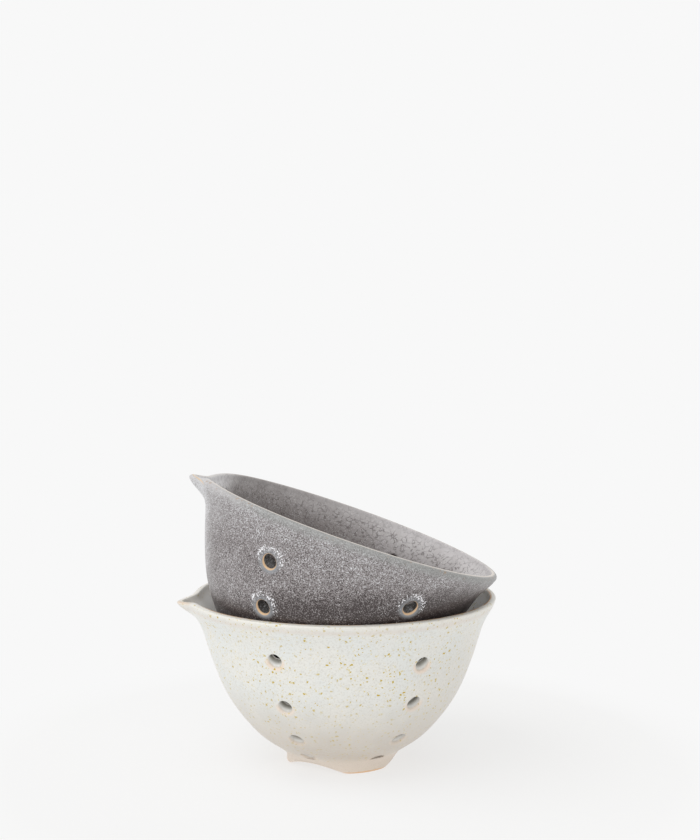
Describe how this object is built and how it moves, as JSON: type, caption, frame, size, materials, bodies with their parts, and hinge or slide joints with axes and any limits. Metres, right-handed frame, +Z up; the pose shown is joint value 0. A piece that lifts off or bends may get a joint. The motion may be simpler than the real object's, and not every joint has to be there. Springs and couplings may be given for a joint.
{
  "type": "berry colander bowl",
  "caption": "Nested pair of round stoneware berry colanders with flared lips, small pouring spouts, columns of drain holes and low arched feet, the upper bowl leaning in the lower.",
  "frame": {"origin": "centre of the lower bowl's foot ring, on the table that it stands on", "axes": "+Z up along the lower bowl's axis; -Y is the front, the side the picture shows; +X is to the right, the side that the upper bowl leans to; both spouts point to -X"},
  "size_m": [0.1504, 0.1545, 0.1378],
  "materials": {
    "cream_speckled_glaze": "satin warm white glaze with small ochre specks",
    "cream_foot_clay": "thinly glazed beige clay, bare tan along the bottom edge",
    "grey_mottled_glaze": "satin grey glaze with fine light and dark mottling",
    "grey_foot_clay": "thinly glazed grey-brown clay, bare tan along the bottom edge"
  },
  "bodies": {
    "lower_colander": {"lower_bowl": "cream_speckled_glaze", "lower_foot_front": "cream_foot_clay", "lower_foot_left": "cream_foot_clay", "lower_foot_rear": "cream_foot_clay"},
    "upper_colander": {"upper_bowl": "grey_mottled_glaze", "upper_foot_front": "grey_foot_clay", "upper_foot_left": "grey_foot_clay", "upper_foot_rear": "grey_foot_clay"}
  },
  "joints": [
    {"name": "upper_colander_lift", "type": "slide", "parent": "lower_colander", "child": "upper_colander", "axis": [0, 0, 1], "range_m": [0, 0.09]}
  ]
}
